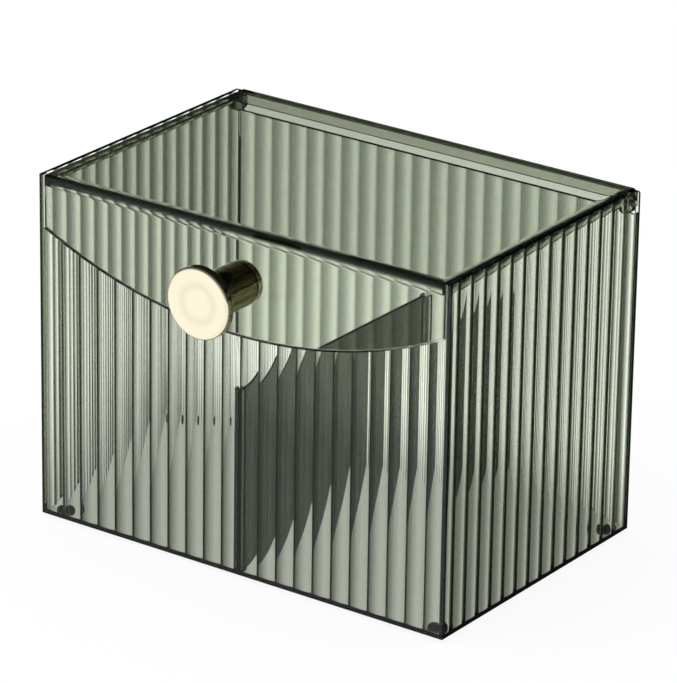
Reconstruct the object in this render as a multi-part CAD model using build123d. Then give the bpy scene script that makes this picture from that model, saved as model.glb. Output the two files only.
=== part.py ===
from build123d import *
from math import ceil
import os

# Makeup organizer: a clear plastic box fluted on the inside, a smooth hinged lid, a gold knob and a lift-out
# divider.
# Millimetres, +Z up, front towards -Y. The origin is under the middle of the whole object, knob included,
# on the surface that the feet stand on.

# Box moulding
BODY_WIDTH = 225.0
BODY_DEPTH = 150.5
BODY_HEIGHT = 167.0
WALL = 2.6
FLOOR = 1.9
BODY_EDGE_ROUND = 0.45
BODY_BOTTOM_CHAMFER = 0.5
CAVITY_CORNER_ROUND = 1.5
SIDE_REAR_ROUND = 3.0
BACK_WALL_DROP = 12.5
BACK_RIM_ROUND = 1.5

# Flutes: shallow hollows down the inside of every wall, which is thickest at the ridges between them
FLUTE_PITCH = 10.12
FLUTE_DEPTH = 0.95

# Lid moulding
LID_PLATE = 2.4
LID_SIDE_GAP = 0.4
APRON_WALL = 2.6
APRON_END_DROP = 25.2
APRON_MID_DROP = 50.7
LID_REST_GAP = 0.3
LID_SKIRT_DROP = 5.5
LID_SKIRT_WALL = 2.4
LID_FLANGE_DROP = 8.5
LID_FLANGE_WALL = 2.2
LID_FRONT_ROUND = 1.4
LID_REAR_ROUND = 2.5
LID_FRONT_FILLET = 4.0
LID_REAR_FILLET = 2.5
LID_SKIRT_FILLET = 2.8

# Hinge
PIN_BACK_INSET = 4.8
PIN_DROP = 5.7
PIN_RADIUS = 1.5
PIN_RUNNING_CLEARANCE = 0.05
PIN_RECESS = 0.3
PIN_END_CHAMFER = 0.25
PIN_PAD_RADIUS = 3.6
EAR_RADIUS = 4.2
EAR_REACH = 3.5
EAR_WALL = 3.4

# Knob, with its axis square to the apron
KNOB_DROP = 26.3
KNOB_REACH = 30.2
KNOB_DISC_RADIUS = 16.8
KNOB_DISC_THICK = 4.5
KNOB_LIP_CHAMFER = 1.2
KNOB_LIP_EASE = 0.5
KNOB_BACK_CHAMFER = 0.6
KNOB_DISH_DEPTH = 0.7
KNOB_DISH_RADIUS = 14.4
KNOB_STEM_RADIUS = 10.4
KNOB_STEM_FLARE = 1.6
KNOB_BASE_CHAMFER = 0.4

# Knob fastening
INSERT_RADIUS = 3.2
INSERT_LENGTH = 9.0
INSERT_RECESS = 0.4
SCREW_RADIUS = 2.0
SCREW_THREAD_GAP = 0.05
SCREW_HOLE_CLEARANCE = 0.25
SCREW_ENTRY = 7.0
SCREW_HEAD_RADIUS = 4.0
SCREW_HEAD_HEIGHT = 2.4
SCREW_HEAD_CHAMFER = 1.0
SCREW_RECESS_RADIUS = 1.3
SCREW_RECESS_DEPTH = 1.4
WASHER_RADIUS = 10.0
WASHER_THICK = 3.3
WASHER_CHAMFER = 0.5

# Divider and the slots that guide it
DIVIDER_HEIGHT = 88.5
DIVIDER_THICK = 2.0
DIVIDER_SIDE_CLEARANCE = 0.3
DIVIDER_END_CLEARANCE = 0.4
DIVIDER_CORNER_ROUND = 2.6
SLOT_RIB_THICK = 1.2
SLOT_RIB_DEPTH = 2.5

# Feet
FOOT_RADIUS = 4.8
FOOT_HEIGHT = 1.5
FOOT_INSET = 9.0
FOOT_CHAMFER = 0.5

# Cutters run this far past what they cut
OVER = 1.0

# Places that follow from the sizes
BASE_Z = FOOT_HEIGHT
TOP_Z = BASE_Z + BODY_HEIGHT
FLOOR_Z = BASE_Z + FLOOR
BODY_Y = KNOB_REACH / 2
FRONT_Y = BODY_Y - BODY_DEPTH / 2
BACK_Y = BODY_Y + BODY_DEPTH / 2
INNER_X = BODY_WIDTH / 2 - WALL
INNER_FRONT_Y = FRONT_Y + WALL
INNER_BACK_Y = BACK_Y - WALL
LID_X = INNER_X - LID_SIDE_GAP
PIN_Y = BACK_Y - PIN_BACK_INSET
PIN_Z = TOP_Z - PIN_DROP
PIN_OUTER_X = BODY_WIDTH / 2 - PIN_RECESS
KNOB_Z = TOP_Z - KNOB_DROP
SLOT_HALF = DIVIDER_THICK / 2 + DIVIDER_SIDE_CLEARANCE

# Each row has as many flutes as reach past the hollows of the two walls beside it
FLUTES_ACROSS = ceil(2 * (INNER_X + FLUTE_DEPTH) / FLUTE_PITCH)
FLUTES_DEEP = ceil((INNER_BACK_Y - INNER_FRONT_Y + 2 * FLUTE_DEPTH) / FLUTE_PITCH)


def block(x, y, z):
    """Box between two values on each axis."""
    solid = Box(x[1] - x[0], y[1] - y[0], z[1] - z[0], align=(Align.MIN, Align.MIN, Align.MIN))
    return Pos(x[0], y[0], z[0]) * solid


def prism_along_x(face, x0, x1):
    """Extrude a face drawn as (y, z) from x0 to x1."""
    plane = Plane(origin=(x0, 0, 0), x_dir=(0, 1, 0), z_dir=(1, 0, 0))
    return extrude(plane * face, amount=x1 - x0)


def prism_along_y(face, y0, y1):
    """Extrude a face drawn as (x, z) from y0 to y1."""
    plane = Plane(origin=(0, y0, 0), x_dir=(1, 0, 0), z_dir=(0, -1, 0))
    return extrude(plane * face, amount=-(y1 - y0))


def cylinder_along_x(radius, x0, x1, y, z):
    """Round bar from x0 to x1."""
    return prism_along_x(Pos(y, z) * Circle(radius), x0, x1)


def arch_above(mid_z, end_z, end_x):
    """Face, drawn as (x, z), over an arc that sags to mid_z between two ends at end_z."""
    arc = ThreePointArc((-end_x, end_z), (0, mid_z), (end_x, end_z))
    top = TOP_Z + OVER
    sides = Polyline((end_x, end_z), (end_x, top), (-end_x, top), (-end_x, end_z))
    return make_face([arc, sides])


def between_fluted_walls(count, breadth):
    """Face, centred on the origin, between two facing walls: a row of hollows at -y and one at +y."""
    ridge = breadth / 2 - WALL
    hollow = ridge + FLUTE_DEPTH
    end = FLUTE_PITCH * count / 2
    edges = []
    for side in (-1, 1):
        for i in range(count):
            x = i * FLUTE_PITCH - end
            edges.append(ThreePointArc(
                (x, side * ridge), (x + FLUTE_PITCH / 2, side * hollow), (x + FLUTE_PITCH, side * ridge)
            ))
        edges.append(Line((side * end, -ridge), (side * end, ridge)))
    return make_face(edges)


def cavity_outline():
    """Fluted inside of the box seen from above, rounded where the walls meet and cut the last flutes."""
    outline = between_fluted_walls(FLUTES_ACROSS, BODY_DEPTH)
    outline &= Rot(0, 0, 90) * between_fluted_walls(FLUTES_DEEP, BODY_WIDTH)
    corners = [
        outline.vertices().sort_by_distance((side_x * BODY_WIDTH / 2, side_y * BODY_DEPTH / 2, 0))[0]
        for side_x in (-1, 1) for side_y in (-1, 1)
    ]
    return fillet(corners, CAVITY_CORNER_ROUND)


def box_body():
    """Box with fluted walls: floor, arched front rim, low back wall, divider slots and pin bores."""
    outer = block((-BODY_WIDTH / 2, BODY_WIDTH / 2), (FRONT_Y, BACK_Y), (BASE_Z, TOP_Z))
    outer = chamfer(outer.faces().sort_by(Axis.Z)[0].edges(), BODY_BOTTOM_CHAMFER)
    outer = fillet(outer.edges().filter_by(Axis.Z), BODY_EDGE_ROUND)
    body = outer - extrude(Pos(0, BODY_Y, FLOOR_Z) * cavity_outline(), amount=TOP_Z + OVER - FLOOR_Z)

    # Front rim follows the lid's apron
    past_corner = CAVITY_CORNER_ROUND + OVER
    rim = arch_above(TOP_Z - APRON_MID_DROP - LID_REST_GAP, TOP_Z - APRON_END_DROP - LID_REST_GAP, INNER_X)
    body -= prism_along_y(rim, FRONT_Y - OVER, INNER_FRONT_Y + past_corner)

    # Back wall stops short, so that the lid's flange can swing over it
    back_low = TOP_Z - BACK_WALL_DROP
    notch = block((-INNER_X, INNER_X), (INNER_BACK_Y - past_corner, BACK_Y + OVER), (back_low, TOP_Z + OVER))
    lower_edges = notch.edges().filter_by(Axis.Y).group_by(Axis.Z)[0]
    body -= fillet(lower_edges, BACK_RIM_ROUND)

    # Upper rear corners of the side walls are rounded
    square = Pos(BACK_Y - SIDE_REAR_ROUND, TOP_Z - SIDE_REAR_ROUND) * Rectangle(
        SIDE_REAR_ROUND + OVER, SIDE_REAR_ROUND + OVER, align=(Align.MIN, Align.MIN)
    )
    disc = Pos(BACK_Y - SIDE_REAR_ROUND, TOP_Z - SIDE_REAR_ROUND) * Circle(SIDE_REAR_ROUND)
    body -= prism_along_x(square - disc, -BODY_WIDTH / 2 - OVER, BODY_WIDTH / 2 + OVER)

    # Two upright ribs on each end wall make a slot for the divider
    rib_top = FLOOR_Z + DIVIDER_HEIGHT
    rib_y = ((INNER_FRONT_Y - WALL / 2, INNER_FRONT_Y + SLOT_RIB_DEPTH),
             (INNER_BACK_Y - SLOT_RIB_DEPTH, INNER_BACK_Y + WALL / 2))
    for y in rib_y:
        for side in (-1, 1):
            edges = sorted((side * SLOT_HALF, side * (SLOT_HALF + SLOT_RIB_THICK)))
            body += block(edges, y, (FLOOR_Z - FLOOR / 2, rib_top))

    # A round pad fills the flute at each hinge pin, so that the pin's bore has the wall's full thickness
    for side in (-1, 1):
        pad_ends = sorted((side * INNER_X, side * (BODY_WIDTH / 2 - WALL / 2)))
        body += cylinder_along_x(PIN_PAD_RADIUS, *pad_ends, PIN_Y, PIN_Z)
        bore_ends = sorted((side * (INNER_X - OVER), side * (BODY_WIDTH / 2 + OVER)))
        body -= cylinder_along_x(PIN_RADIUS, *bore_ends, PIN_Y, PIN_Z)
    return body


def lid():
    """Smooth lid: plate, arched apron, side skirts, back flange, ears and the knob's screw hole."""
    apron_low = TOP_Z - APRON_MID_DROP
    plate_low = TOP_Z - LID_PLATE
    flange_low = TOP_Z - LID_FLANGE_DROP
    section = make_face(Polyline(
        (FRONT_Y, apron_low), (FRONT_Y, TOP_Z), (BACK_Y, TOP_Z), (BACK_Y, flange_low),
        (BACK_Y - LID_FLANGE_WALL, flange_low), (BACK_Y - LID_FLANGE_WALL, plate_low),
        (FRONT_Y + APRON_WALL, plate_low), (FRONT_Y + APRON_WALL, apron_low), close=True,
    ))
    solid = prism_along_x(section, -LID_X, LID_X)

    def edge_at(y, z):
        lines = solid.edges().filter_by(Axis.X)
        return lines.sort_by(lambda e: abs(e.center().Y - y) + abs(e.center().Z - z))[0]

    solid = fillet(edge_at(FRONT_Y, TOP_Z), LID_FRONT_ROUND)
    solid = fillet(edge_at(BACK_Y, TOP_Z), LID_REAR_ROUND)
    solid = fillet(edge_at(FRONT_Y + APRON_WALL, plate_low), LID_FRONT_FILLET)
    solid = fillet(edge_at(BACK_Y - LID_FLANGE_WALL, plate_low), LID_REAR_FILLET)

    # Arched lower edge of the apron
    keep = arch_above(apron_low, TOP_Z - APRON_END_DROP, LID_X)
    solid &= prism_along_y(keep, FRONT_Y - OVER, BACK_Y + OVER)

    # Side skirts, blended into the plate
    skirt_low = TOP_Z - LID_SKIRT_DROP
    inner = LID_X - LID_SKIRT_WALL
    blend = LID_SKIRT_FILLET
    for side in (-1, 1):
        face = make_face([
            Polyline((side * (inner - blend), plate_low + LID_PLATE / 2), (side * LID_X, plate_low + LID_PLATE / 2),
                     (side * LID_X, skirt_low), (side * inner, skirt_low), (side * inner, plate_low - blend)),
            RadiusArc((side * inner, plate_low - blend), (side * (inner - blend), plate_low), side * blend),
            Line((side * (inner - blend), plate_low), (side * (inner - blend), plate_low + LID_PLATE / 2)),
        ])
        solid += prism_along_y(face, FRONT_Y + APRON_WALL / 2, BACK_Y - LID_FLANGE_WALL / 2)

    # Hinge ears, drawn out towards the front, with a bore for the pin
    for side in (-1, 1):
        ends = sorted((side * (LID_X - EAR_WALL), side * LID_X))
        ear = Pos(PIN_Y - EAR_REACH / 2, PIN_Z) * SlotCenterToCenter(EAR_REACH, 2 * EAR_RADIUS)
        solid += prism_along_x(ear, *ends)
    for side in (-1, 1):
        ends = sorted((side * (LID_X - EAR_WALL - OVER), side * (LID_X + OVER)))
        solid -= cylinder_along_x(PIN_RADIUS + PIN_RUNNING_CLEARANCE, *ends, PIN_Y, PIN_Z)

    hole = Pos(0, KNOB_Z) * Circle(SCREW_RADIUS + SCREW_HOLE_CLEARANCE)
    return solid - prism_along_y(hole, FRONT_Y - OVER, FRONT_Y + APRON_WALL + OVER)


def hinge_pin(side):
    """Pin held in the side wall, reaching through the lid's ear."""
    ends = sorted((side * (LID_X - EAR_WALL), side * PIN_OUTER_X))
    pin = cylinder_along_x(PIN_RADIUS, *ends, PIN_Y, PIN_Z)
    return chamfer(pin.edges().filter_by(GeomType.CIRCLE), PIN_END_CHAMFER)


def nearest_vertex(face, corner):
    """Vertex of a flat face that lies nearest to a corner."""
    return face.vertices().sort_by_distance((corner[0], corner[1], 0))[0]


def turned(profile):
    """Revolve a face drawn as (radius, distance in front of the apron) about the knob's axis."""
    plane = Plane(origin=(0, FRONT_Y, KNOB_Z), x_dir=(1, 0, 0), z_dir=(0, 0, 1))
    axis = Axis((0, FRONT_Y, KNOB_Z), (0, -1, 0))
    return revolve(plane * mirror(profile, about=Plane.XZ), axis)


def knob():
    """Turned knob: stem, disc whose front edge is eased in three cuts, and a shallow dish in its face."""
    disc_back = KNOB_REACH - KNOB_DISC_THICK
    profile = make_face(Polyline(
        (0, 0), (KNOB_STEM_RADIUS, 0), (KNOB_STEM_RADIUS, disc_back), (KNOB_DISC_RADIUS, disc_back),
        (KNOB_DISC_RADIUS, KNOB_REACH), (0, KNOB_REACH), close=True,
    ))
    for corner, size in (
        ((KNOB_STEM_RADIUS, 0), KNOB_BASE_CHAMFER),
        ((KNOB_STEM_RADIUS, disc_back), KNOB_STEM_FLARE),
        ((KNOB_DISC_RADIUS, disc_back), KNOB_BACK_CHAMFER),
        ((KNOB_DISC_RADIUS, KNOB_REACH), KNOB_LIP_CHAMFER),
        ((KNOB_DISC_RADIUS - KNOB_LIP_CHAMFER, KNOB_REACH), KNOB_LIP_EASE),
        ((KNOB_DISC_RADIUS, KNOB_REACH - KNOB_LIP_CHAMFER), KNOB_LIP_EASE),
    ):
        profile = chamfer(nearest_vertex(profile, corner), size)
    dish_sphere = (KNOB_DISH_RADIUS ** 2 + KNOB_DISH_DEPTH ** 2) / (2 * KNOB_DISH_DEPTH)
    dish = Pos(0, FRONT_Y - KNOB_REACH + KNOB_DISH_DEPTH - dish_sphere, KNOB_Z) * Sphere(dish_sphere)
    bore = Rectangle(INSERT_RADIUS, INSERT_RECESS + INSERT_LENGTH, align=(Align.MIN, Align.MIN))
    return turned(profile) - dish - turned(bore)


def knob_insert():
    """Threaded bush in the stem, with its tapped hole as a plain bore."""
    bush = Pos(0, INSERT_RECESS) * Rectangle(INSERT_RADIUS, INSERT_LENGTH, align=(Align.MIN, Align.MIN))
    hole = Rectangle(
        SCREW_RADIUS + SCREW_THREAD_GAP, INSERT_RECESS + SCREW_ENTRY + OVER, align=(Align.MIN, Align.MIN)
    )
    return turned(bush) - turned(hole)


def knob_washer():
    """Round plate behind the apron."""
    back = -APRON_WALL - WASHER_THICK
    disc = Pos(0, back) * Rectangle(WASHER_RADIUS, WASHER_THICK, align=(Align.MIN, Align.MIN))
    washer = turned(disc)
    washer = chamfer(washer.edges().filter_by(GeomType.CIRCLE).sort_by(Axis.Y)[-1], WASHER_CHAMFER)
    hole = Pos(0, back - OVER) * Rectangle(
        SCREW_RADIUS + SCREW_HOLE_CLEARANCE, WASHER_THICK + 2 * OVER, align=(Align.MIN, Align.MIN)
    )
    return washer - turned(hole)


def knob_screw():
    """Pan-head screw from inside the box, through washer and apron into the insert."""
    seat = -APRON_WALL - WASHER_THICK
    head = turned(Pos(0, seat - SCREW_HEAD_HEIGHT) * Rectangle(
        SCREW_HEAD_RADIUS, SCREW_HEAD_HEIGHT, align=(Align.MIN, Align.MIN)
    ))
    head = chamfer(head.edges().filter_by(GeomType.CIRCLE).sort_by(Axis.Y)[-1], SCREW_HEAD_CHAMFER)
    shank = turned(Pos(0, seat) * Rectangle(SCREW_RADIUS, SCREW_ENTRY - seat, align=(Align.MIN, Align.MIN)))
    socket_face = Pos(0, KNOB_Z) * RegularPolygon(SCREW_RECESS_RADIUS, 6)
    socket_y = FRONT_Y - seat + SCREW_HEAD_HEIGHT
    socket = prism_along_y(socket_face, socket_y - SCREW_RECESS_DEPTH, socket_y + OVER)
    return head + shank - socket


def divider():
    """Flat plate that stands on the floor between the slots."""
    y0 = INNER_FRONT_Y + DIVIDER_END_CLEARANCE
    y1 = INNER_BACK_Y - DIVIDER_END_CLEARANCE
    plate = block((-DIVIDER_THICK / 2, DIVIDER_THICK / 2), (y0, y1), (FLOOR_Z, FLOOR_Z + DIVIDER_HEIGHT))
    return fillet(plate.edges().filter_by(Axis.X), DIVIDER_CORNER_ROUND)


def foot(side_x, side_y):
    """Round rubber foot stuck under a corner of the floor."""
    pad = Cylinder(FOOT_RADIUS, FOOT_HEIGHT, align=(Align.CENTER, Align.CENTER, Align.MIN))
    pad = chamfer(pad.edges().filter_by(GeomType.CIRCLE).sort_by(Axis.Z)[0], FOOT_CHAMFER)
    x = side_x * (BODY_WIDTH / 2 - FOOT_INSET)
    y = BODY_Y + side_y * (BODY_DEPTH / 2 - FOOT_INSET)
    return Pos(x, y, 0) * pad


def all_pieces():
    """Every piece of the organizer by name."""
    pieces = {
        "box_body": box_body(),
        "lid": lid(),
        "knob": knob(),
        "knob_insert": knob_insert(),
        "knob_washer": knob_washer(),
        "knob_screw": knob_screw(),
        "divider": divider(),
    }
    for x_name, side_x in (("left", -1), ("right", 1)):
        pieces[f"hinge_pin_{x_name}"] = hinge_pin(side_x)
        for y_name, side_y in (("front", -1), ("back", 1)):
            pieces[f"foot_{y_name}_{x_name}"] = foot(side_x, side_y)
    return pieces


os.makedirs("parts", exist_ok=True)
for name, piece in all_pieces().items():
    piece.label = name
    export_step(piece, os.path.join("parts", f"{name}.step"))
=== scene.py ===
import math

import bmesh
import bpy
from mathutils import Matrix, Vector


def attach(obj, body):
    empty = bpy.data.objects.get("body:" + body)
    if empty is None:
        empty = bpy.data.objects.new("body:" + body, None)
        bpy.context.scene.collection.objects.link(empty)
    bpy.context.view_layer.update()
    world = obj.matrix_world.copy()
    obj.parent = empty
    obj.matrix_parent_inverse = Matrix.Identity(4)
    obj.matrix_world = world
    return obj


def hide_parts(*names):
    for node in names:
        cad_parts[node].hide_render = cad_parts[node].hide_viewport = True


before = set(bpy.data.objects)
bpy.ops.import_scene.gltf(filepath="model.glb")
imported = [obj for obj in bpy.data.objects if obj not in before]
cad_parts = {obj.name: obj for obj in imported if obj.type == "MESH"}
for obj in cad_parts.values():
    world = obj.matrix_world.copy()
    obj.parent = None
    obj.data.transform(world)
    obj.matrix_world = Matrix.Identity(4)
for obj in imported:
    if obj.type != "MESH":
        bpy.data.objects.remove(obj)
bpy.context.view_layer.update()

# Makeup organizer: detailed meshes over the CAD solids, materials, studio and camera.
# Lengths are in millimetres here and repeat the part's own sizes. MM turns them into metres.
MM = 0.001

scene = bpy.context.scene

# Box moulding
WIDTH, DEPTH, HEIGHT = 225.0, 150.5, 167.0
BASE_Z = 1.5
TOP_Z = BASE_Z + HEIGHT
MIDDLE_Y = 15.1
FRONT_Y, BACK_Y = MIDDLE_Y - DEPTH / 2, MIDDLE_Y + DEPTH / 2
WALL, FLOOR = 2.6, 1.9
FLOOR_Z = BASE_Z + FLOOR
INNER_X = WIDTH / 2 - WALL  # the plane of the ridges
BACK_WALL_Z = TOP_Z - 12.5
FLUTES_ACROSS, FLUTES_DEEP = 22, 15
FLUTE_PITCH, FLUTE_DEPTH = 10.12, 0.95
RIDGE_ROUND, CORNER_ROUND = 0.15, 1.5
SIDE_ROUND, NOTCH_ROUND, REAR_CORNER = 0.45, 1.5, 3.0
RIM_GAP = 0.3  # between the front rim and the apron
BEYOND = 5  # how far a cutter passes the surface that it cuts

# Divider and the ribs that guide it
DIVIDER_HEIGHT, DIVIDER_THICK, DIVIDER_CORNER, DIVIDER_GAP = 88.5, 2.0, 2.6, 0.4
DIVIDER_TOP_Z = FLOOR_Z + DIVIDER_HEIGHT
SLOT_HALF, SLOT_MOUTH_HALF, SLOT_LEAD_IN = 1.3, 1.7, 1.2
RIB_OUTER_X, RIB_REACH, RIB_ROOT = 2.5, 2.5, 1.3

# Lid moulding
LID_X = INNER_X - 0.4
LID_PLATE, APRON_WALL, FLANGE_WALL, SKIRT_WALL = 2.4, 2.6, 2.2, 2.4
LID_FRONT_ROUND, LID_REAR_ROUND = 0.6, 1.2
APRON_FILLET, FLANGE_FILLET, SKIRT_FILLET = 4.0, 2.5, 2.8
SKIRT_ROOT, SKIRT_MARGIN = 1.2, 0.5  # how far a skirt reaches up into the plate and in past its fillet
APRON_END_DROP, APRON_MID_DROP = 25.2, 50.7
FLANGE_DROP, SKIRT_DROP = 8.5, 5.5

# Hinge
PIN_Y, PIN_Z, PIN_RADIUS = BACK_Y - 4.8, TOP_Z - 5.7, 1.5
PIN_FIT, PIN_PLAY = 0.03, 0.05  # round the pin, in the box and in the lid
PIN_SUNK = 0.3  # below the box's outer face
PAD_RADIUS = 3.6
EAR_WIDTH, EAR_RADIUS, EAR_REACH = 3.4, 4.2, 3.5

# Knob and its fastening
KNOB_Z = TOP_Z - 26.3
KNOB_REACH = 30.2
DISC_RADIUS, DISC_THICK, DISH_RADIUS, DISH_DEPTH = 16.8, 4.5, 14.4, 0.7
STEM_RADIUS = 10.4
BORE_RADIUS, BORE_DEPTH = 3.2, 9.4
SCREW_HOLE = 2.25
WASHER_RADIUS, WASHER_THICK = 10.0, 3.3
HEAD_RADIUS, HEAD_HEIGHT, SHANK_RADIUS = 4.0, 2.4, 2.0
THREAD_PITCH, THREAD_CREST, THREAD_ROOT, SCREW_TIP, SCREW_END = 0.7, 1.98, 1.72, 1.6, 7.0
SOCKET_RADIUS, SOCKET_DEPTH = 1.3, 1.4

# Feet
FOOT_INSET, FOOT_RADIUS, FOOT_HOLLOW_RADIUS, FOOT_HOLLOW = 9.0, 4.8, 3.0, 0.3

SEAT = 0.02  # gap between two pieces that sit on each other
BOX_EASE, LID_EASE, DIVIDER_EASE = 0.22, 0.3, 0.2  # small roundings along the sharp edges
SHARP_ANGLE, SHADING_ANGLE = math.radians(40), math.radians(28)

FULL_TURN = 2 * math.pi
ACROSS, DEEP, UP, FORWARD = (1, 0, 0), (0, 1, 0), (0, 0, 1), (0, -1, 0)


def add_object(name, points, faces):
    """Mesh object from points in millimetres, with its faces turned outwards."""
    mesh = bpy.data.meshes.new(name)
    mesh.from_pydata([[MM * c for c in p] for p in points], [], faces)
    bm = bmesh.new()
    bm.from_mesh(mesh)
    bmesh.ops.recalc_face_normals(bm, faces=bm.faces)
    bm.to_mesh(mesh)
    bm.free()
    obj = bpy.data.objects.new(name, mesh)
    scene.collection.objects.link(obj)
    return obj


def loft(name, rings):
    """Closed solid through rings that all have the same number of points."""
    n = len(rings[0])
    last = (len(rings) - 1) * n
    faces = [tuple(range(n)), tuple(last + i for i in range(n))]
    for k in range(0, last, n):
        faces += [(k + i, k + (i + 1) % n, k + n + (i + 1) % n, k + n + i) for i in range(n)]
    return add_object(name, [p for ring in rings for p in ring], faces)


def prism_x(name, outline, x0, x1):
    """Solid between two x values from an outline of (y, z) points."""
    return loft(name, [[(x, y, z) for y, z in outline] for x in (x0, x1)])


def prism_y(name, outline, y0, y1):
    """Solid between two y values from an outline of (x, z) points."""
    return loft(name, [[(x, y, z) for x, z in outline] for y in (y0, y1)])


def spin(name, profile, origin, u, v, w, steps, ring=False):
    """Solid of revolution about w. The profile is (radius, distance along w) points. A ring has a hole."""
    points, rows = [], []
    for radius, along in profile:
        count = 1 if radius == 0 else steps
        rows.append([len(points) + i for i in range(count)])
        for i in range(count):
            a = FULL_TURN * i / steps
            points.append([origin[k] + radius * (math.cos(a) * u[k] + math.sin(a) * v[k]) + along * w[k]
                           for k in range(3)])
    pairs = list(zip(rows, rows[1:])) + ([(rows[-1], rows[0])] if ring else [])
    faces = []
    for a, b in pairs:
        for i in range(steps):
            j = (i + 1) % steps
            if len(a) == 1:
                faces.append((a[0], b[i], b[j]))
            elif len(b) == 1:
                faces.append((a[i], a[j], b[0]))
            else:
                faces.append((a[i], a[j], b[j], b[i]))
    return add_object(name, points, faces)


def rounded(corners, steps=6):
    """Closed outline from (x, y, radius) corners, each rounded by its radius."""
    out = []
    n = len(corners)
    for i, (x, y, radius) in enumerate(corners):
        if radius == 0:
            out.append((x, y))
            continue
        p = Vector((x, y))
        a = (Vector(corners[i - 1][:2]) - p).normalized()
        b = (Vector(corners[(i + 1) % n][:2]) - p).normalized()
        half = a.angle(b) / 2
        centre = p + (a + b).normalized() * radius / math.sin(half)
        start = p + a * radius / math.tan(half) - centre
        end = p + b * radius / math.tan(half) - centre
        turn = start.angle_signed(end)
        for k in range(steps + 1):
            q = start.copy()
            q.rotate(Matrix.Rotation(-turn * k / steps, 2))
            out.append(tuple(centre + q))
    return out


def rectangle(x0, x1, y0, y1, radius, steps=6):
    """Outline of a rectangle with round corners."""
    return rounded([(x0, y0, radius), (x1, y0, radius), (x1, y1, radius), (x0, y1, radius)], steps)


def evaluated(obj):
    """Bakes the object's modifiers into its mesh."""
    graph = bpy.context.evaluated_depsgraph_get()
    mesh = bpy.data.meshes.new_from_object(obj.evaluated_get(graph))
    obj.modifiers.clear()
    obj.data = mesh


def combine(obj, others, operation):
    """Adds, subtracts or intersects other solids, which are used up."""
    for other in others:
        step = obj.modifiers.new(operation, "BOOLEAN")
        step.operation = operation
        step.solver = "MANIFOLD"
        step.object = other
        evaluated(obj)
        bpy.data.objects.remove(other)


def ease(obj, width, keep=None):
    """Rounds the solid's sharp edges a little, as a mould does. keep says by place which edges are taken."""
    bm = bmesh.new()
    bm.from_mesh(obj.data)
    bmesh.ops.remove_doubles(bm, verts=bm.verts, dist=0.002 * MM)
    edges = []
    for e in bm.edges:
        if e.is_manifold and e.calc_face_angle(0) > SHARP_ANGLE:
            if keep is None or keep(*(e.verts[0].co + e.verts[1].co) / 2 / MM):
                edges.append(e)
    bmesh.ops.bevel(bm, geom=edges, offset=width * MM, offset_type="OFFSET", segments=2,
                    profile=0.5, affect="EDGES", clamp_overlap=False)
    bm.to_mesh(obj.data)
    bm.free()


def finish_piece(obj, material, body, slot, *nodes):
    """Shading, material and the CAD body and nodes that a piece stands for. The slot argument is not used."""
    obj.data.shade_smooth()
    obj.data.set_sharp_from_angle(angle=SHADING_ANGLE)
    normals = obj.modifiers.new("normals", "WEIGHTED_NORMAL")
    normals.keep_sharp = True
    obj.data.materials.clear()
    obj.data.materials.append(material)
    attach(obj, body)
    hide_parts(*nodes)


# Materials


class Maths:
    """Short way to chain maths nodes in a node tree."""

    def __init__(self, tree):
        self.tree = tree

    def __call__(self, operation, *values):
        node = self.tree.nodes.new("ShaderNodeMath")
        node.operation = operation
        for socket, value in zip(node.inputs, values):
            if isinstance(value, (int, float)):
                socket.default_value = value
            else:
                self.tree.links.new(value, socket)
        return node.outputs[0]

    def ramp(self, value, a, b, at_a, at_b):
        """Smooth step from at_a to at_b while the value goes from a to b."""
        node = self.tree.nodes.new("ShaderNodeMapRange")
        node.interpolation_type = "SMOOTHSTEP"
        for name, number in (("From Min", a), ("From Max", b), ("To Min", at_a), ("To Max", at_b)):
            node.inputs[name].default_value = number
        self.tree.links.new(value, node.inputs["Value"])
        return node.outputs[0]

    def mix(self, factor, a, b):
        """a where the factor is 0, b where it is 1."""
        return self("ADD", self("MULTIPLY", self("SUBTRACT", 1.0, factor), a), self("MULTIPLY", factor, b))


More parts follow.
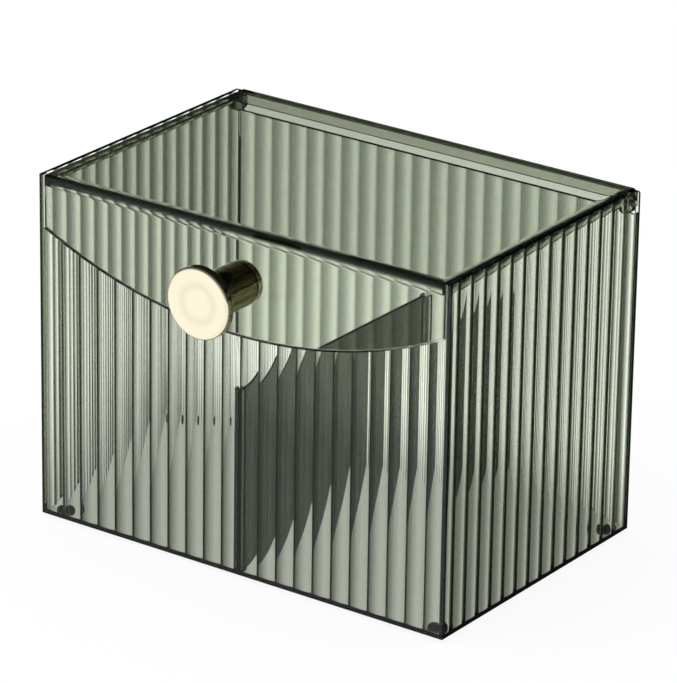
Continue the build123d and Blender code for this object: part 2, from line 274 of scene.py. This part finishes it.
class Nodes:
    """A new node material, with short ways to add nodes and links."""

    def __init__(self, name):
        self.material = bpy.data.materials.new(name)
        self.material.use_nodes = True
        self.tree = self.material.node_tree
        self.tree.nodes.clear()
        self.out = self.tree.nodes.new("ShaderNodeOutputMaterial")
        self.shader = self.add("ShaderNodeBsdfPrincipled")
        self.link(self.shader.outputs[0], self.out.inputs["Surface"])
        self.place = self.add("ShaderNodeTexCoord").outputs["Object"]

    def add(self, kind, **values):
        node = self.tree.nodes.new(kind)
        for key, value in values.items():
            setattr(node, key, value)
        return node

    def link(self, a, b):
        self.tree.links.new(a, b)

    def coordinates(self):
        """The object's own x, y and z in metres."""
        split = self.add("ShaderNodeSeparateXYZ")
        self.link(self.place, split.inputs[0])
        return split.outputs

    def surface(self, shader):
        """Takes another shader in place of the Principled one."""
        self.tree.nodes.remove(self.shader)
        self.link(shader, self.out.inputs["Surface"])

    def set(self, **values):
        for key, value in values.items():
            self.shader.inputs[key.replace("_", " ")].default_value = value

    def noise(self, scale, detail=3.0, stretch=(1, 1, 1)):
        mapping = self.add("ShaderNodeMapping")
        mapping.inputs["Scale"].default_value = stretch
        self.link(self.place, mapping.inputs["Vector"])
        noise = self.add("ShaderNodeTexNoise")
        noise.inputs["Scale"].default_value = scale
        noise.inputs["Detail"].default_value = detail
        self.link(mapping.outputs[0], noise.inputs["Vector"])
        return noise.outputs["Fac"]

    def roughness(self, value, at_low, at_high):
        ramp = self.add("ShaderNodeMapRange")
        ramp.inputs["To Min"].default_value = at_low
        ramp.inputs["To Max"].default_value = at_high
        self.link(value, ramp.inputs["Value"])
        self.link(ramp.outputs[0], self.shader.inputs["Roughness"])

    def colour(self, value, dark, light):
        ramp = self.add("ShaderNodeMix", data_type="RGBA")
        self.link(value, ramp.inputs["Factor"])
        ramp.inputs["A"].default_value = (*dark, 1)
        ramp.inputs["B"].default_value = (*light, 1)
        self.link(ramp.outputs["Result"], self.shader.inputs["Base Color"])

    def bump(self, value, distance_mm, strength=1.0):
        bump = self.add("ShaderNodeBump")
        bump.inputs["Distance"].default_value = distance_mm * MM
        bump.inputs["Strength"].default_value = strength
        self.link(value, bump.inputs["Height"])
        self.link(bump.outputs[0], self.shader.inputs["Normal"])


# Painted shade: where the tinted plastic is painted black, standing in for light that gets lost inside it
POST = 1.8  # the box's upright corners, from both outer faces
LEFT_POST_DROP = 26  # the left ones stay clear this far below the top
BAND_DEPTH, BAND_HEIGHT = 2.2, 1.4  # the lid's front edge
SIDE_BAND, SIDE_BAND_HEIGHT = 1.0, 2.6  # the lid's side edges
SLOT_DARK_HALF, SLOT_DARK_FROM, SLOT_DARK_DEPTH = 1.8, 0.8, 2.5  # the front slot of the divider
PAINTED_SHADE_FADE = 0.3


def box_shade_painted(calc, x, y, z):
    """How far a point lies inside the box's upright outer corners or round its front slot, where black shade
    is painted.
    """
    from_middle = calc("ABSOLUTE", calc("SUBTRACT", y, MIDDLE_Y * MM))
    past_side = calc("SUBTRACT", calc("ABSOLUTE", x), (WIDTH / 2 - POST) * MM)
    past_front = calc("SUBTRACT", from_middle, (DEPTH / 2 - POST) * MM)
    high_up = calc("GREATER_THAN", z, (TOP_Z - LEFT_POST_DROP) * MM)
    left_top = calc("MULTIPLY", calc("LESS_THAN", x, 0.0), high_up)
    posts = calc("SUBTRACT", calc("MINIMUM", past_side, past_front), left_top)
    slot = calc("SUBTRACT", SLOT_DARK_HALF * MM, calc("ABSOLUTE", x))
    for inside in (
        calc("SUBTRACT", DIVIDER_TOP_Z * MM, z),
        calc("SUBTRACT", y, (FRONT_Y + SLOT_DARK_FROM) * MM),
        calc("SUBTRACT", (FRONT_Y + WALL + SLOT_DARK_DEPTH) * MM, y),
    ):
        slot = calc("MINIMUM", slot, inside)
    return calc("MAXIMUM", posts, slot)


def lid_shade_painted(calc, x, y, z):
    """How far a point lies inside the front edge or the side edges of the lid's plate, where black shade is
    painted.
    """
    front = calc("SUBTRACT", (FRONT_Y + BAND_DEPTH) * MM, y)
    front = calc("MINIMUM", front, calc("SUBTRACT", z, (TOP_Z - BAND_HEIGHT) * MM))
    side = calc("SUBTRACT", calc("ABSOLUTE", x), (LID_X - SIDE_BAND) * MM)
    side = calc("MINIMUM", side, calc("SUBTRACT", z, (TOP_Z - SIDE_BAND_HEIGHT) * MM))
    return calc("MAXIMUM", front, side)


def clear_plastic(name, absorbed_colour, density, painted_shade_mask=None):
    """Tinted clear moulding: the tint comes from how far light travels inside it. The mask argument, if
    given, says where black shade is painted into its colour, as a distance that is positive there."""
    n = Nodes(name)
    n.set(Transmission_Weight=1.0, IOR=1.49, Specular_Tint=(0.4, 0.4, 0.4, 1))
    if painted_shade_mask:
        calc = Maths(n.tree)
        dark = calc.ramp(painted_shade_mask(calc, *n.coordinates()), 0.0, PAINTED_SHADE_FADE * MM, 0.0, 1.0)
        # Painted shade: the base colour turns near black where the mask is positive
        n.colour(dark, (1.0, 1.0, 1.0), (0.01, 0.012, 0.01))
    else:
        n.colour(n.noise(35), (0.97, 0.98, 0.96), (1.0, 1.0, 1.0))
    n.roughness(n.noise(900, 2), 0.0, 0.03)
    n.bump(n.noise(60, 1), 0.02, 0.5)
    volume = n.add("ShaderNodeVolumeAbsorption")
    volume.inputs["Color"].default_value = (*absorbed_colour, 1)
    volume.inputs["Density"].default_value = density
    n.link(volume.outputs[0], n.out.inputs["Volume"])
    return n.material


def metal(name, dark, light, rough, brush=(1, 1, 1)):
    """Polished or turned metal with a faint grain."""
    n = Nodes(name)
    n.set(Metallic=1.0)
    grain = n.noise(900, 4, brush)
    n.colour(n.noise(60), dark, light)
    n.roughness(grain, *rough)
    n.bump(grain, 0.002, 0.4)
    return n.material


# The painted highlight on the knob's face fades out between these distances behind it. Its rings of painted
# reflection and shade are measured from its axis.
FACE_END, SIDE_START = 0.9, 3.0
DISH_RING, DISH_RING_WIDTH = 8.5, 3.5
RIM_START, RIM_END = 14.5, 16.5


def gold_with_painted_light(name):
    """Polished gold with painted light: a painted highlight on the knob's face, a painted reflection a little
    darker in rings, and painted shade on its side and stem.
    """
    n = Nodes(name)
    n.set(Metallic=1.0)
    x, y, z = n.coordinates()
    calc = Maths(n.tree)
    face = n.add("ShaderNodeMapRange")
    face_y = FRONT_Y - KNOB_REACH
    face.inputs["From Min"].default_value = (face_y + SIDE_START) * MM
    face.inputs["From Max"].default_value = (face_y + FACE_END) * MM
    n.link(y, face.inputs["Value"])
    above_axis = calc("SUBTRACT", z, KNOB_Z * MM)
    from_axis = calc("SQRT", calc("ADD", calc("POWER", x, 2.0), calc("POWER", above_axis, 2.0)))
    from_ring = calc("ABSOLUTE", calc("SUBTRACT", from_axis, DISH_RING * MM))
    dish = calc.ramp(from_ring, 0.0, DISH_RING_WIDTH * MM, 0.84, 1.0)
    rim = calc.ramp(from_axis, RIM_START * MM, RIM_END * MM, 1.0, 0.8)
    painted_highlight = calc("MULTIPLY", face.outputs[0], calc("MULTIPLY", dish, rim))
    # Painted light: the dark colour is painted shade on the side and stem, the light colour a painted
    # highlight on the face
    n.colour(painted_highlight, (0.42, 0.38, 0.19), (1.0, 0.93, 0.72))
    grain = n.noise(900, 4)
    n.roughness(grain, 0.03, 0.09)
    n.bump(grain, 0.002, 0.4)
    return n.material


def painted_edge_shade(name):
    """Painted black shade for the cut edge of the tinted plate, standing in for light that runs along inside
    the plate.
    """
    n = Nodes(name)
    grain = n.noise(700)
    n.colour(grain, (0.004, 0.005, 0.004), (0.012, 0.014, 0.010))
    n.roughness(grain, 0.2, 0.35)
    n.set(Specular_IOR_Level=0.15)
    return n.material


def rubber(name):
    """Matt black rubber with a fine pebble."""
    n = Nodes(name)
    grain = n.noise(2500, 5)
    n.colour(grain, (0.018, 0.018, 0.018), (0.04, 0.04, 0.038))
    n.roughness(n.noise(700), 0.55, 0.8)
    n.bump(grain, 0.05, 0.6)
    return n.material


# The box's and the lid's plastics get painted black shade along their edges
smoke = clear_plastic("smoky clear plastic", (0.413, 0.5, 0.304), 230, box_shade_painted)
# The lid and the divider take darker copies of the same clear plastic, a painted shade: they absorb more
# light than the box
lid_shaded_smoke = clear_plastic("smoky plastic with painted shade for the lid", (0.443, 0.5, 0.357), 440, lid_shade_painted)
divider_shaded_smoke = clear_plastic("clear plastic with painted shade for the divider", (0.315, 0.35, 0.275), 1250)
gold = metal("polished gold", (0.94, 0.84, 0.56), (0.98, 0.90, 0.66), (0.03, 0.09))
gold_knob_painted = gold_with_painted_light("knob gold with painted light and shade")
painted_black_edge = painted_edge_shade("painted black shade on the divider's edges")
brass = metal("turned brass", (0.62, 0.44, 0.18), (0.75, 0.56, 0.27), (0.18, 0.3), (1, 12, 1))
steel = metal("bright steel", (0.50, 0.50, 0.51), (0.62, 0.62, 0.62), (0.15, 0.28), (1, 8, 1))
black_rubber = rubber("black rubber")


# The two mouldings


def fluted_outline():
    """Outline of the cavity seen from above: hollow flutes that meet in slightly rounded ridges."""
    radius = (FLUTE_PITCH / 2) ** 2 / (2 * FLUTE_DEPTH) + FLUTE_DEPTH / 2
    walls = []
    for along, out, breadth, count in (
        ((1, 0), (0, -1), DEPTH, FLUTES_ACROSS),
        ((0, 1), (1, 0), WIDTH, FLUTES_DEEP),
        ((-1, 0), (0, 1), DEPTH, FLUTES_ACROSS),
        ((0, -1), (-1, 0), WIDTH, FLUTES_DEEP),
    ):
        along, out = Vector(along), Vector(out)
        away = out * (breadth / 2 - WALL + FLUTE_DEPTH - radius)
        walls.append((out, [along * (i + 0.5 - count / 2) * FLUTE_PITCH + away for i in range(count)]))

    # Circles that round the ridge, in the wall, or the corner, in the cavity, after each flute
    flutes, blends = [], []
    drop = math.sqrt((radius + RIDGE_ROUND) ** 2 - (FLUTE_PITCH / 2) ** 2)
    for k, (out, centres) in enumerate(walls):
        flutes += centres
        blends += [((a + b) / 2 + out * drop, RIDGE_ROUND, 1, 4) for a, b in zip(centres, centres[1:])]
        next_out, next_centres = walls[(k + 1) % 4]
        centre = centres[-1] + (out + next_out) * radius / 2
        for _ in range(40):
            for other in (centres[-1], next_centres[0]):
                centre = other + (centre - other).normalized() * (radius - CORNER_ROUND)
        blends.append((centre, CORNER_ROUND, -1, 10))

    def arc(centre, reach, start, end, steps):
        turn = start.angle_signed(end)
        arm = start.normalized() * reach
        return [centre + Matrix.Rotation(-turn * k / steps, 2) @ arm for k in range(steps)]

    points = []
    for i, centre in enumerate(flutes):
        blend, small, side, steps = blends[i]
        following = flutes[(i + 1) % len(flutes)]
        points += arc(centre, radius, blends[i - 1][0] - centre, blend - centre, 14)
        points += arc(blend, small, (centre - blend) * side, (following - blend) * side, steps)
    return [(p.x, p.y + MIDDLE_Y) for p in points]


def arch_outline(mid_z, end_z, end_x, steps=72):
    """Outline over an arc that sags from end_z at both ends to mid_z in the middle."""
    sag = end_z - mid_z
    radius = (end_x ** 2 + sag ** 2) / (2 * sag)
    half = math.asin(end_x / radius)
    arc = [(radius * math.sin(a), mid_z + radius * (1 - math.cos(a)))
           for a in (half * (2 * k / steps - 1) for k in range(steps + 1))]
    return arc + [(end_x, TOP_Z + BEYOND), (-end_x, TOP_Z + BEYOND)]


def build_shell():
    """Outer block, with a small rounding round its foot that is given as (inset, height) rings."""
    rings = []
    for inset, z in ((0.5, 0), (0.32, 0.06), (0.15, 0.2), (0.04, 0.4), (0, 0.6), (0, HEIGHT)):
        x, y = WIDTH / 2 - inset, DEPTH / 2 - inset
        ring = rectangle(-x, x, MIDDLE_Y - y, MIDDLE_Y + y, SIDE_ROUND)
        rings.append([(px, py, BASE_Z + z) for px, py in ring])
    return loft("box_shell", rings)


def build_body():
    body = build_shell()
    outline = fluted_outline()
    cuts = [loft("cavity", [[(x, y, z) for x, y in outline] for z in (FLOOR_Z, TOP_Z + BEYOND)])]

    # Arched front rim, lower back wall and round rear corners of the side walls
    rim = arch_outline(TOP_Z - APRON_MID_DROP - RIM_GAP, TOP_Z - APRON_END_DROP - RIM_GAP, INNER_X)
    cuts.append(prism_y("rim", rim, FRONT_Y - BEYOND, FRONT_Y + WALL + 4))
    notch = rounded([(-INNER_X, BACK_WALL_Z, NOTCH_ROUND), (INNER_X, BACK_WALL_Z, NOTCH_ROUND),
                     (INNER_X, TOP_Z + BEYOND, 0), (-INNER_X, TOP_Z + BEYOND, 0)])
    cuts.append(prism_y("notch", notch, BACK_Y - WALL - 4, BACK_Y + BEYOND))
    start_y, start_z = BACK_Y - REAR_CORNER, TOP_Z - REAR_CORNER
    arc = [(start_y + REAR_CORNER * math.sin(a), start_z + REAR_CORNER * math.cos(a))
           for a in (math.pi / 2 * k / 8 for k in range(9))]
    rear = arc + [(BACK_Y + 3, start_z), (BACK_Y + 3, TOP_Z + 3), (start_y, TOP_Z + 3)]
    cuts.append(prism_x("rear", rear, -WIDTH, WIDTH))
    combine(body, cuts, "DIFFERENCE")

    # Round pads on the inside for the hinge pins, and their bores
    bore = PIN_RADIUS + PIN_FIT
    pads, bores = [], []
    for side in (-1, 1):
        spot = (side * (INNER_X + WALL / 2), PIN_Y, PIN_Z), DEEP, UP, (-side, 0, 0)
        pads.append(spin("pad", [(0, 0), (PAD_RADIUS, 0), (PAD_RADIUS, WALL / 2), (0, WALL / 2)], *spot, 64))
        bores.append(spin("bore", [(0, -4), (bore, -4), (bore, 4), (0, 4)], *spot, 48))
    combine(body, pads, "UNION")
    combine(body, bores, "DIFFERENCE")

    # Upright ribs that guide the divider, with a lead-in at the top
    slot_levels = ((FLOOR_Z - 1, SLOT_HALF), (DIVIDER_TOP_Z - SLOT_LEAD_IN, SLOT_HALF),
                   (DIVIDER_TOP_Z, SLOT_MOUTH_HALF))
    ribs = []
    for wall_y, reach in ((FRONT_Y + WALL, 1), (BACK_Y - WALL, -1)):
        y0, y1 = sorted((wall_y - RIB_ROOT * reach, wall_y + RIB_REACH * reach))
        for side in (-1, 1):
            rings = []
            for z, inner in slot_levels:
                x0, x1 = sorted((side * inner, side * RIB_OUTER_X))
                rings.append([(x0, y0, z), (x1, y0, z), (x1, y1, z), (x0, y1, z)])
            ribs.append(loft("rib", rings))
    combine(body, ribs, "UNION")
    foot_top = BASE_Z + 1.2
    ease(body, BOX_EASE, keep=lambda x, y, z: z > foot_top)
    return body


def hinge_ear(x0, x1):
    """Ear round a hinge pin: a round end that runs forward into the lid."""
    outline, half_steps = [], 24
    for k in range(2 * half_steps + 1):
        a = math.pi * k / half_steps - math.pi / 2
        centre_y = PIN_Y if k <= half_steps else PIN_Y - EAR_REACH
        outline.append((centre_y + EAR_RADIUS * math.cos(a), PIN_Z + EAR_RADIUS * math.sin(a)))
    outline.insert(half_steps + 1, (PIN_Y - EAR_REACH, PIN_Z + EAR_RADIUS))
    return prism_x("ear", outline, x0, x1)


def build_lid():
    apron_low = TOP_Z - APRON_MID_DROP
    plate_low = TOP_Z - LID_PLATE
    flange_low = TOP_Z - FLANGE_DROP
    inner_front, inner_back = FRONT_Y + APRON_WALL, BACK_Y - FLANGE_WALL
    section = rounded([
        (FRONT_Y, apron_low, 0), (FRONT_Y, TOP_Z, LID_FRONT_ROUND), (BACK_Y, TOP_Z, LID_REAR_ROUND),
        (BACK_Y, flange_low, 0), (inner_back, flange_low, 0), (inner_back, plate_low, FLANGE_FILLET),
        (inner_front, plate_low, APRON_FILLET), (inner_front, apron_low, 0),
    ], 14)
    lid = prism_x("lid_shell", section, -LID_X, LID_X)
    arch = arch_outline(apron_low, TOP_Z - APRON_END_DROP, LID_X)
    combine(lid, [prism_y("arch", arch, FRONT_Y - BEYOND, BACK_Y + BEYOND)], "INTERSECT")

    # Side skirts and hinge ears
    inner_x, skirt_low, in_plate = LID_X - SKIRT_WALL, TOP_Z - SKIRT_DROP, plate_low + SKIRT_ROOT
    root_x = inner_x - SKIRT_FILLET - SKIRT_MARGIN
    extra = []
    for side in (-1, 1):
        skirt = rounded([(side * root_x, plate_low, 0), (side * root_x, in_plate, 0),
                         (side * LID_X, in_plate, 0), (side * LID_X, skirt_low, 0),
                         (side * inner_x, skirt_low, 0), (side * inner_x, plate_low, SKIRT_FILLET)], 10)
        extra.append(prism_y("skirt", skirt, FRONT_Y + APRON_WALL / 2, BACK_Y - FLANGE_WALL / 2))
        extra.append(hinge_ear(*sorted((side * (LID_X - EAR_WIDTH), side * LID_X))))
    combine(lid, extra, "UNION")

    # Bores for the pins and the knob's screw
    cuts = []
    bore = PIN_RADIUS + PIN_PLAY
    for side in (-1, 1):
        cuts.append(spin("bore", [(0, -3), (bore, -3), (bore, 3), (0, 3)],
                         (side * (LID_X - EAR_WIDTH / 2), PIN_Y, PIN_Z), DEEP, UP, ACROSS, 48))
    cuts.append(spin("hole", [(0, -3), (SCREW_HOLE, -3), (SCREW_HOLE, 3), (0, 3)],
                     (0, FRONT_Y + APRON_WALL / 2, KNOB_Z), ACROSS, UP, DEEP, 48))
    combine(lid, cuts, "DIFFERENCE")
    ease(lid, LID_EASE)
    return lid


finish_piece(build_body(), smoke, "box", "clear_plastic", "box_body")
finish_piece(build_lid(), lid_shaded_smoke, "lid", "clear_plastic", "lid")


# Divider, knob, pins and feet


def build_divider():
    """Plate with round corners. Its cut edges get a painted black shade, standing in for light that runs
    along inside it and shows nothing.
    """
    front, back = FRONT_Y + WALL + DIVIDER_GAP, BACK_Y - WALL - DIVIDER_GAP
    plate = rectangle(front, back, FLOOR_Z, DIVIDER_TOP_Z, DIVIDER_CORNER, 10)
    divider = prism_x("divider_plate", plate, -DIVIDER_THICK / 2, DIVIDER_THICK / 2)
    ease(divider, DIVIDER_EASE)
    finish_piece(divider, divider_shaded_smoke, "divider", "clear_plastic", "divider")
    # Painted shade: the faces along the plate's edges take the black material
    divider.data.materials.append(painted_black_edge)
    for face in divider.data.polygons:
        if max(abs(face.normal.y), face.normal.z) > 0.7:
            face.material_index = 1


def turned(name, profile, ring=False):
    """Piece turned about the knob's axis, from (radius, distance in front of the apron) points."""
    return spin(name, profile, (0, FRONT_Y, KNOB_Z), ACROSS, UP, FORWARD, 128, ring)


def build_knob():
    """Stem with a blind bore, and a wide disc with a shallow dish in its face."""
    disc_back, dish_steps = KNOB_REACH - DISC_THICK, 20
    profile = rounded([
        (0, BORE_DEPTH, 0), (BORE_RADIUS, BORE_DEPTH, 0), (BORE_RADIUS, SEAT, 0.15), (STEM_RADIUS, SEAT, 0.4),
        (STEM_RADIUS, disc_back, 1.5), (DISC_RADIUS, disc_back, 0.5), (DISC_RADIUS, KNOB_REACH, 1.25),
        (DISH_RADIUS, KNOB_REACH, 0),
    ], 8)
    for k in range(1, dish_steps + 1):
        share = 1 - k / dish_steps
        profile.append((DISH_RADIUS * share, KNOB_REACH - DISH_DEPTH * (1 - share * share)))
    finish_piece(turned("knob_turned", profile), gold_knob_painted, "lid", "gold_metal", "knob")


def build_fastening():
    """Washer and threaded screw behind the apron."""
    washer_back = -APRON_WALL - WASHER_THICK
    washer_front = -APRON_WALL - SEAT
    profile = rounded([(SCREW_HOLE, washer_back, 0.2), (WASHER_RADIUS, washer_back, 0.5),
                       (WASHER_RADIUS, washer_front, 0.25), (SCREW_HOLE, washer_front, 0.2)], 5)
    finish_piece(turned("washer_turned", profile, True), gold, "lid", "gold_metal", "knob_washer")

    head = washer_back - HEAD_HEIGHT
    head_front = washer_back - SEAT
    profile = [(0, head)] + rounded([(1.9, head, 0), (HEAD_RADIUS, head, 1.3), (HEAD_RADIUS, head_front, 0.2),
                                     (SHANK_RADIUS, head_front, 0.15)], 6)[:-1]
    for k in range(int((SCREW_END - washer_back) / THREAD_PITCH)):
        along = washer_back + 0.3 + k * THREAD_PITCH
        profile += [(THREAD_CREST, along), (THREAD_CREST, along + 0.1),
                    (THREAD_ROOT, along + 0.35), (THREAD_ROOT, along + 0.45)]
    profile += [(SCREW_TIP, SCREW_END), (0, SCREW_END)]
    screw = turned("screw_turned", profile)
    corners = [(SOCKET_RADIUS * math.cos(a), KNOB_Z + SOCKET_RADIUS * math.sin(a))
               for a in (k * math.pi / 3 for k in range(6))]
    head_y = FRONT_Y - head
    combine(screw, [prism_y("socket", corners, head_y - SOCKET_DEPTH, head_y + 1)], "DIFFERENCE")
    finish_piece(screw, steel, "lid", "steel", "knob_screw")


def build_pins():
    pin_in, pin_out = LID_X - EAR_WIDTH, WIDTH / 2 - PIN_SUNK
    for side, name in ((-1, "left"), (1, "right")):
        profile = rounded([(0, pin_in, 0), (PIN_RADIUS, pin_in, 0.25), (PIN_RADIUS, pin_out, 0.3),
                           (0, pin_out, 0)], 5)
        pin = spin(f"pin_{name}", profile, (0, PIN_Y, PIN_Z), DEEP, UP, (side, 0, 0), 64)
        finish_piece(pin, steel, "box", "steel", f"hinge_pin_{name}")


def build_feet():
    """Rubber pads, slightly hollow underneath."""
    foot_top = BASE_Z - SEAT
    profile = rounded([(0, FOOT_HOLLOW, 0), (FOOT_HOLLOW_RADIUS, FOOT_HOLLOW / 2, 0),
                       (FOOT_HOLLOW_RADIUS + 0.3, 0, 0.2), (FOOT_RADIUS, 0, 0.5),
                       (FOOT_RADIUS, foot_top, 0.2), (0, foot_top, 0)], 5)
    for side_x, x_name in ((-1, "left"), (1, "right")):
        for side_y, y_name in ((-1, "front"), (1, "back")):
            spot = (side_x * (WIDTH / 2 - FOOT_INSET), MIDDLE_Y + side_y * (DEPTH / 2 - FOOT_INSET), 0)
            pad = spin(f"pad_{y_name}_{x_name}", profile, spot, ACROSS, DEEP, UP, 64)
            finish_piece(pad, black_rubber, "box", "rubber_pad", f"foot_{y_name}_{x_name}")


build_divider()
build_knob()
build_fastening()
build_pins()
build_feet()
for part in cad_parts["knob_insert"].material_slots:
    part.link = "OBJECT"
    part.material = brass


# Studio. Angles are in degrees: azimuth 0 is in front of the object and 90 on its right.

# White panels round the object as (azimuth, strength), and the light in the dark gaps between them
PANELS = ((-151, 1.65), (-97, 1.1), (-52, 1.1), (-7, 1.4), (38, 1.5), (83, 0.9), (128, 0.6), (173, 1.3))
GAP_LIGHT = 0.05

# Across a panel, in degrees from its middle: its light rises, drops to a dim tail, and the tail fades
RISE, DROP, TAIL, TAIL_LIGHT = (-14.0, -5.0), (-2.0, 16.0), (12.0, 38.0), (0.5, 0.1)

# Above the horizon the panels dim with height, and so does the room that is mirrored
HORIZON = (-1.0, 1.0)
PANEL_TOP, PANEL_TOP_LIGHT = (5.0, 40.0), (0.2, 0.03)
ROOM_TOP, ROOM_TOP_LIGHT = (0.0, 60.0), (0.35, 0.1)
ROOM_SIDE, ROOM_BACK_LIGHT = (60.0, 100.0), 0.08
SOFT_LIGHT = 0.75


def panel_light(calc, azimuth):
    """Each panel is bright on its left edge and fades to its right."""
    light = GAP_LIGHT
    for centre, strength in PANELS:
        off = calc("WRAP", calc("SUBTRACT", azimuth, centre), 180.0, -180.0)
        tail = calc.ramp(off, *TAIL, *TAIL_LIGHT)
        panel = calc.mix(calc.ramp(off, *DROP, 0.0, 1.0), 1.0, tail)
        panel = calc("MULTIPLY", panel, calc.ramp(off, *RISE, 0.0, strength))
        light = calc("MAXIMUM", light, panel)
    return light


def build_world():
    """White for the camera. Clear plastic sees the panels, whose dark gaps draw the flutes. What is mirrored
    is a room that is white in front and dim behind. Matt surfaces get an even light."""
    world = bpy.data.worlds.new("studio")
    scene.world = world
    world.use_nodes = True
    tree = world.node_tree
    calc = Maths(tree)
    direction = tree.nodes.new("ShaderNodeSeparateXYZ")
    tree.links.new(tree.nodes.new("ShaderNodeTexCoord").outputs["Generated"], direction.inputs[0])
    x, y, z = direction.outputs
    azimuth = calc("DEGREES", calc("ARCTAN2", x, calc("MULTIPLY", y, -1.0)))
    height = calc("DEGREES", calc("ARCSINE", z))
    panels = panel_light(calc, azimuth)
    above = calc.ramp(height, *HORIZON, 0.0, 1.0)
    upper_panels = calc("MULTIPLY", panels, calc.ramp(height, *PANEL_TOP, *PANEL_TOP_LIGHT))
    through = calc.mix(above, panels, upper_panels)
    front = calc.ramp(calc("ABSOLUTE", azimuth), *ROOM_SIDE, 1.0, ROOM_BACK_LIGHT)
    mirrored = calc("MULTIPLY", front, calc.mix(above, 1.0, calc.ramp(height, *ROOM_TOP, *ROOM_TOP_LIGHT)))
    rays = tree.nodes.new("ShaderNodeLightPath").outputs
    light = calc.mix(rays["Is Glossy Ray"], SOFT_LIGHT, mirrored)
    light = calc.mix(rays["Is Transmission Ray"], light, through)
    light = calc.mix(rays["Is Camera Ray"], light, 1.0)
    background = tree.nodes["Background"]
    background.inputs["Color"].default_value = (1, 1, 1, 1)
    tree.links.new(light, background.inputs["Strength"])


def stage_plane(name, half_size, z, material):
    """Square that belongs to the studio, with its half size in metres and z in millimetres."""
    plane = bpy.data.objects.new(name, bpy.data.meshes.new(name))
    corners = ((-1, -1), (1, -1), (1, 1), (-1, 1))
    points = [(half_size * x, half_size * y, z * MM) for x, y in corners]
    plane.data.from_pydata(points, [], [(0, 1, 2, 3)])
    plane.data.materials.append(material)
    scene.collection.objects.link(plane)
    return plane


def floor_material():
    """Grey paint that also glows, so that it is as white as the background and still shows a soft shadow."""
    n = Nodes("white floor")
    matt = n.add("ShaderNodeBsdfDiffuse")
    matt.inputs["Color"].default_value = (0.12, 0.12, 0.12, 1)
    glow = n.add("ShaderNodeEmission")
    glow.inputs["Strength"].default_value = 0.9
    both = n.add("ShaderNodeAddShader")
    n.link(matt.outputs[0], both.inputs[0])
    n.link(glow.outputs[0], both.inputs[1])
    n.surface(both.outputs[0])
    return n.material


SHADE_START, SHADE_END, SHADE_LIGHT = -10, 90, 0.5  # from the box's outer faces, and what passes under it


def shade_material():
    """Painted shadow: a clear sheet that dims the floor under the object and fades out round it."""
    n = Nodes("shade on the floor")
    x, y = n.coordinates()[:2]
    calc = Maths(n.tree)
    from_middle = calc("ABSOLUTE", calc("SUBTRACT", y, MIDDLE_Y * MM))
    past_side = calc("SUBTRACT", calc("ABSOLUTE", x), WIDTH / 2 * MM)
    past_front = calc("SUBTRACT", from_middle, DEPTH / 2 * MM)
    outside = calc("MAXIMUM", past_side, past_front)
    clear = n.add("ShaderNodeBsdfTransparent")
    n.link(calc.ramp(outside, SHADE_START * MM, SHADE_END * MM, SHADE_LIGHT, 1.0), clear.inputs["Color"])
    n.surface(clear.outputs[0])
    return n.material


def build_softbox():
    """Large soft lamp above the front left, in metres."""
    softbox = bpy.data.objects.new("softbox", bpy.data.lights.new("softbox", "AREA"))
    softbox.data.size = 1.2
    softbox.data.energy = 6.0
    softbox.location = (-0.5, -0.5, 1.4)
    middle = Vector((0, 0, 0.08))
    softbox.rotation_euler = (middle - softbox.location).to_track_quat("-Z", "Y").to_euler()
    softbox.visible_glossy = softbox.visible_transmission = softbox.visible_camera = False
    scene.collection.objects.link(softbox)


build_world()
build_softbox()
floor = stage_plane("floor", 6, -0.05, floor_material())
floor.visible_transmission = floor.visible_glossy = False

# Only what is seen through the plastic passes the painted shadow
shade = stage_plane("shade", 1, -0.04, shade_material())
shade.visible_camera = shade.visible_glossy = shade.visible_diffuse = shade.visible_shadow = False

# Camera: its direction, target and distance are solved from the box's corners in the photo
CAMERA_AZIMUTH, CAMERA_ELEVATION, CAMERA_ROLL = (math.radians(a) for a in (35.435, 22.146, 0.885))
CAMERA_TARGET = Vector((-63.25, 105.1, 46.0)) * MM
CAMERA_DISTANCE = 2343.24 * MM
LENS = 257.63

right = Vector((math.cos(CAMERA_AZIMUTH), math.sin(CAMERA_AZIMUTH), 0))
level = Vector((math.sin(CAMERA_AZIMUTH), -math.cos(CAMERA_AZIMUTH), 0))
back = level * math.cos(CAMERA_ELEVATION) + Vector(UP) * math.sin(CAMERA_ELEVATION)
up = back.cross(right)
rolled_right = right * math.cos(CAMERA_ROLL) + up * math.sin(CAMERA_ROLL)
rolled_up = up * math.cos(CAMERA_ROLL) - right * math.sin(CAMERA_ROLL)
camera = bpy.data.objects.new("camera", bpy.data.cameras.new("camera"))
scene.collection.objects.link(camera)
camera.data.lens = LENS
camera.data.clip_start = 0.05
camera.data.clip_end = 60
turn = Matrix((rolled_right, rolled_up, back)).transposed().to_4x4()
camera.matrix_world = Matrix.Translation(CAMERA_TARGET + back * CAMERA_DISTANCE) @ turn
scene.camera = camera
scene.view_settings.view_transform = "Standard"
